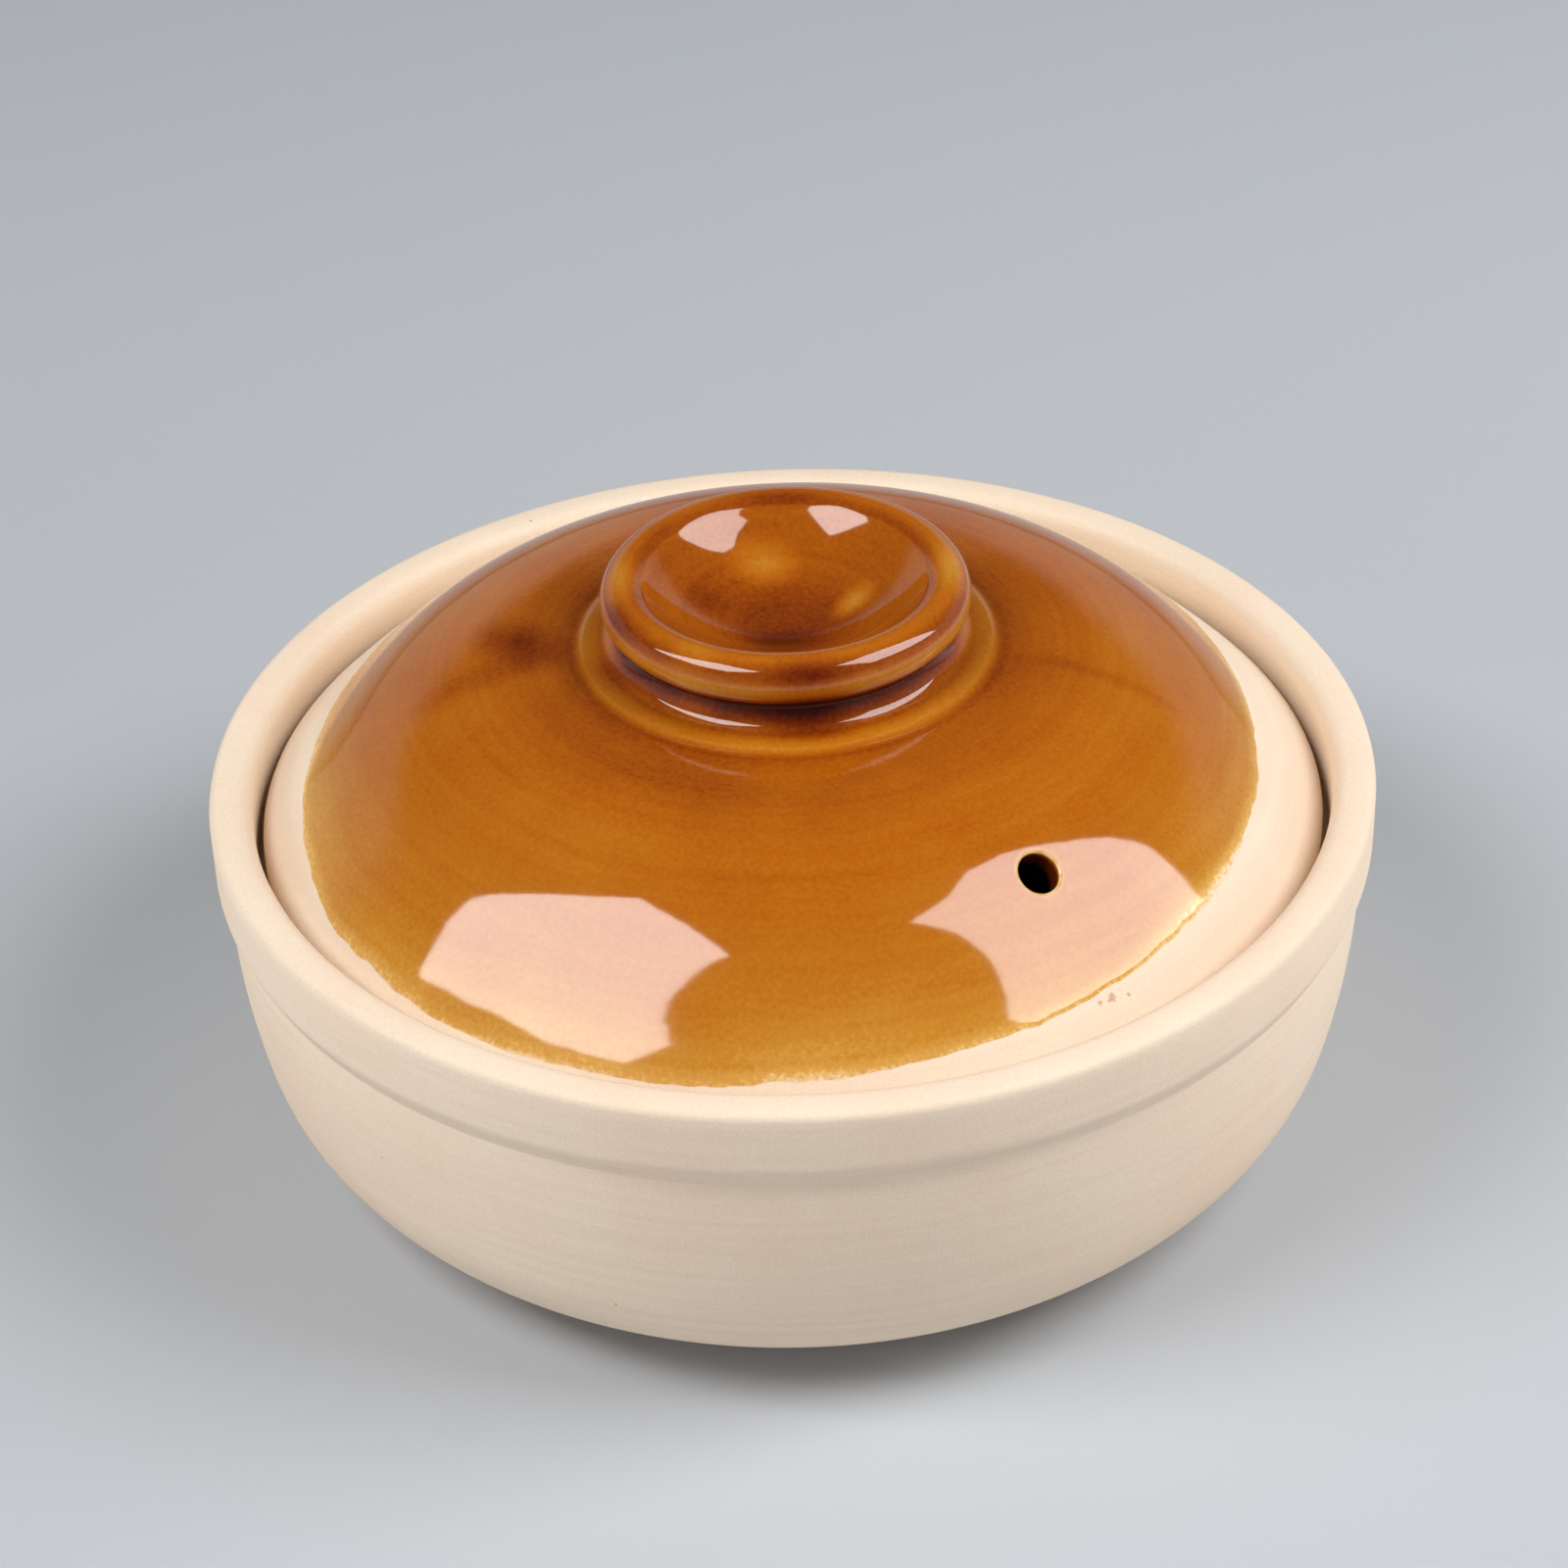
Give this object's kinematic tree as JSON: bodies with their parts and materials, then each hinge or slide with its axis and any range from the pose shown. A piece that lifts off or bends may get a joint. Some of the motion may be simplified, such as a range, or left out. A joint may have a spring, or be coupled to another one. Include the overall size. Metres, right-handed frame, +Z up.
{
  "type": "clay cooking pot",
  "caption": "Low round clay cooking pot with an upright band under its rim and a domed, glazed lid with a dished knob and a steam hole, resting on a ledge inside the rim.",
  "frame": {"origin": "middle of the flat base, on the surface the pot stands on", "axes": "+Z up along the axis the pot was turned on; the steam hole in the lid is on the -Y side, which is the front"},
  "size_m": [0.22, 0.22, 0.1152],
  "materials": {
    "bare_clay": "matte, unglazed fired clay",
    "amber_glaze": "glossy"
  },
  "bodies": {
    "root": {"pot": "bare_clay", "lid": "amber_glaze"}
  },
  "joints": []
}
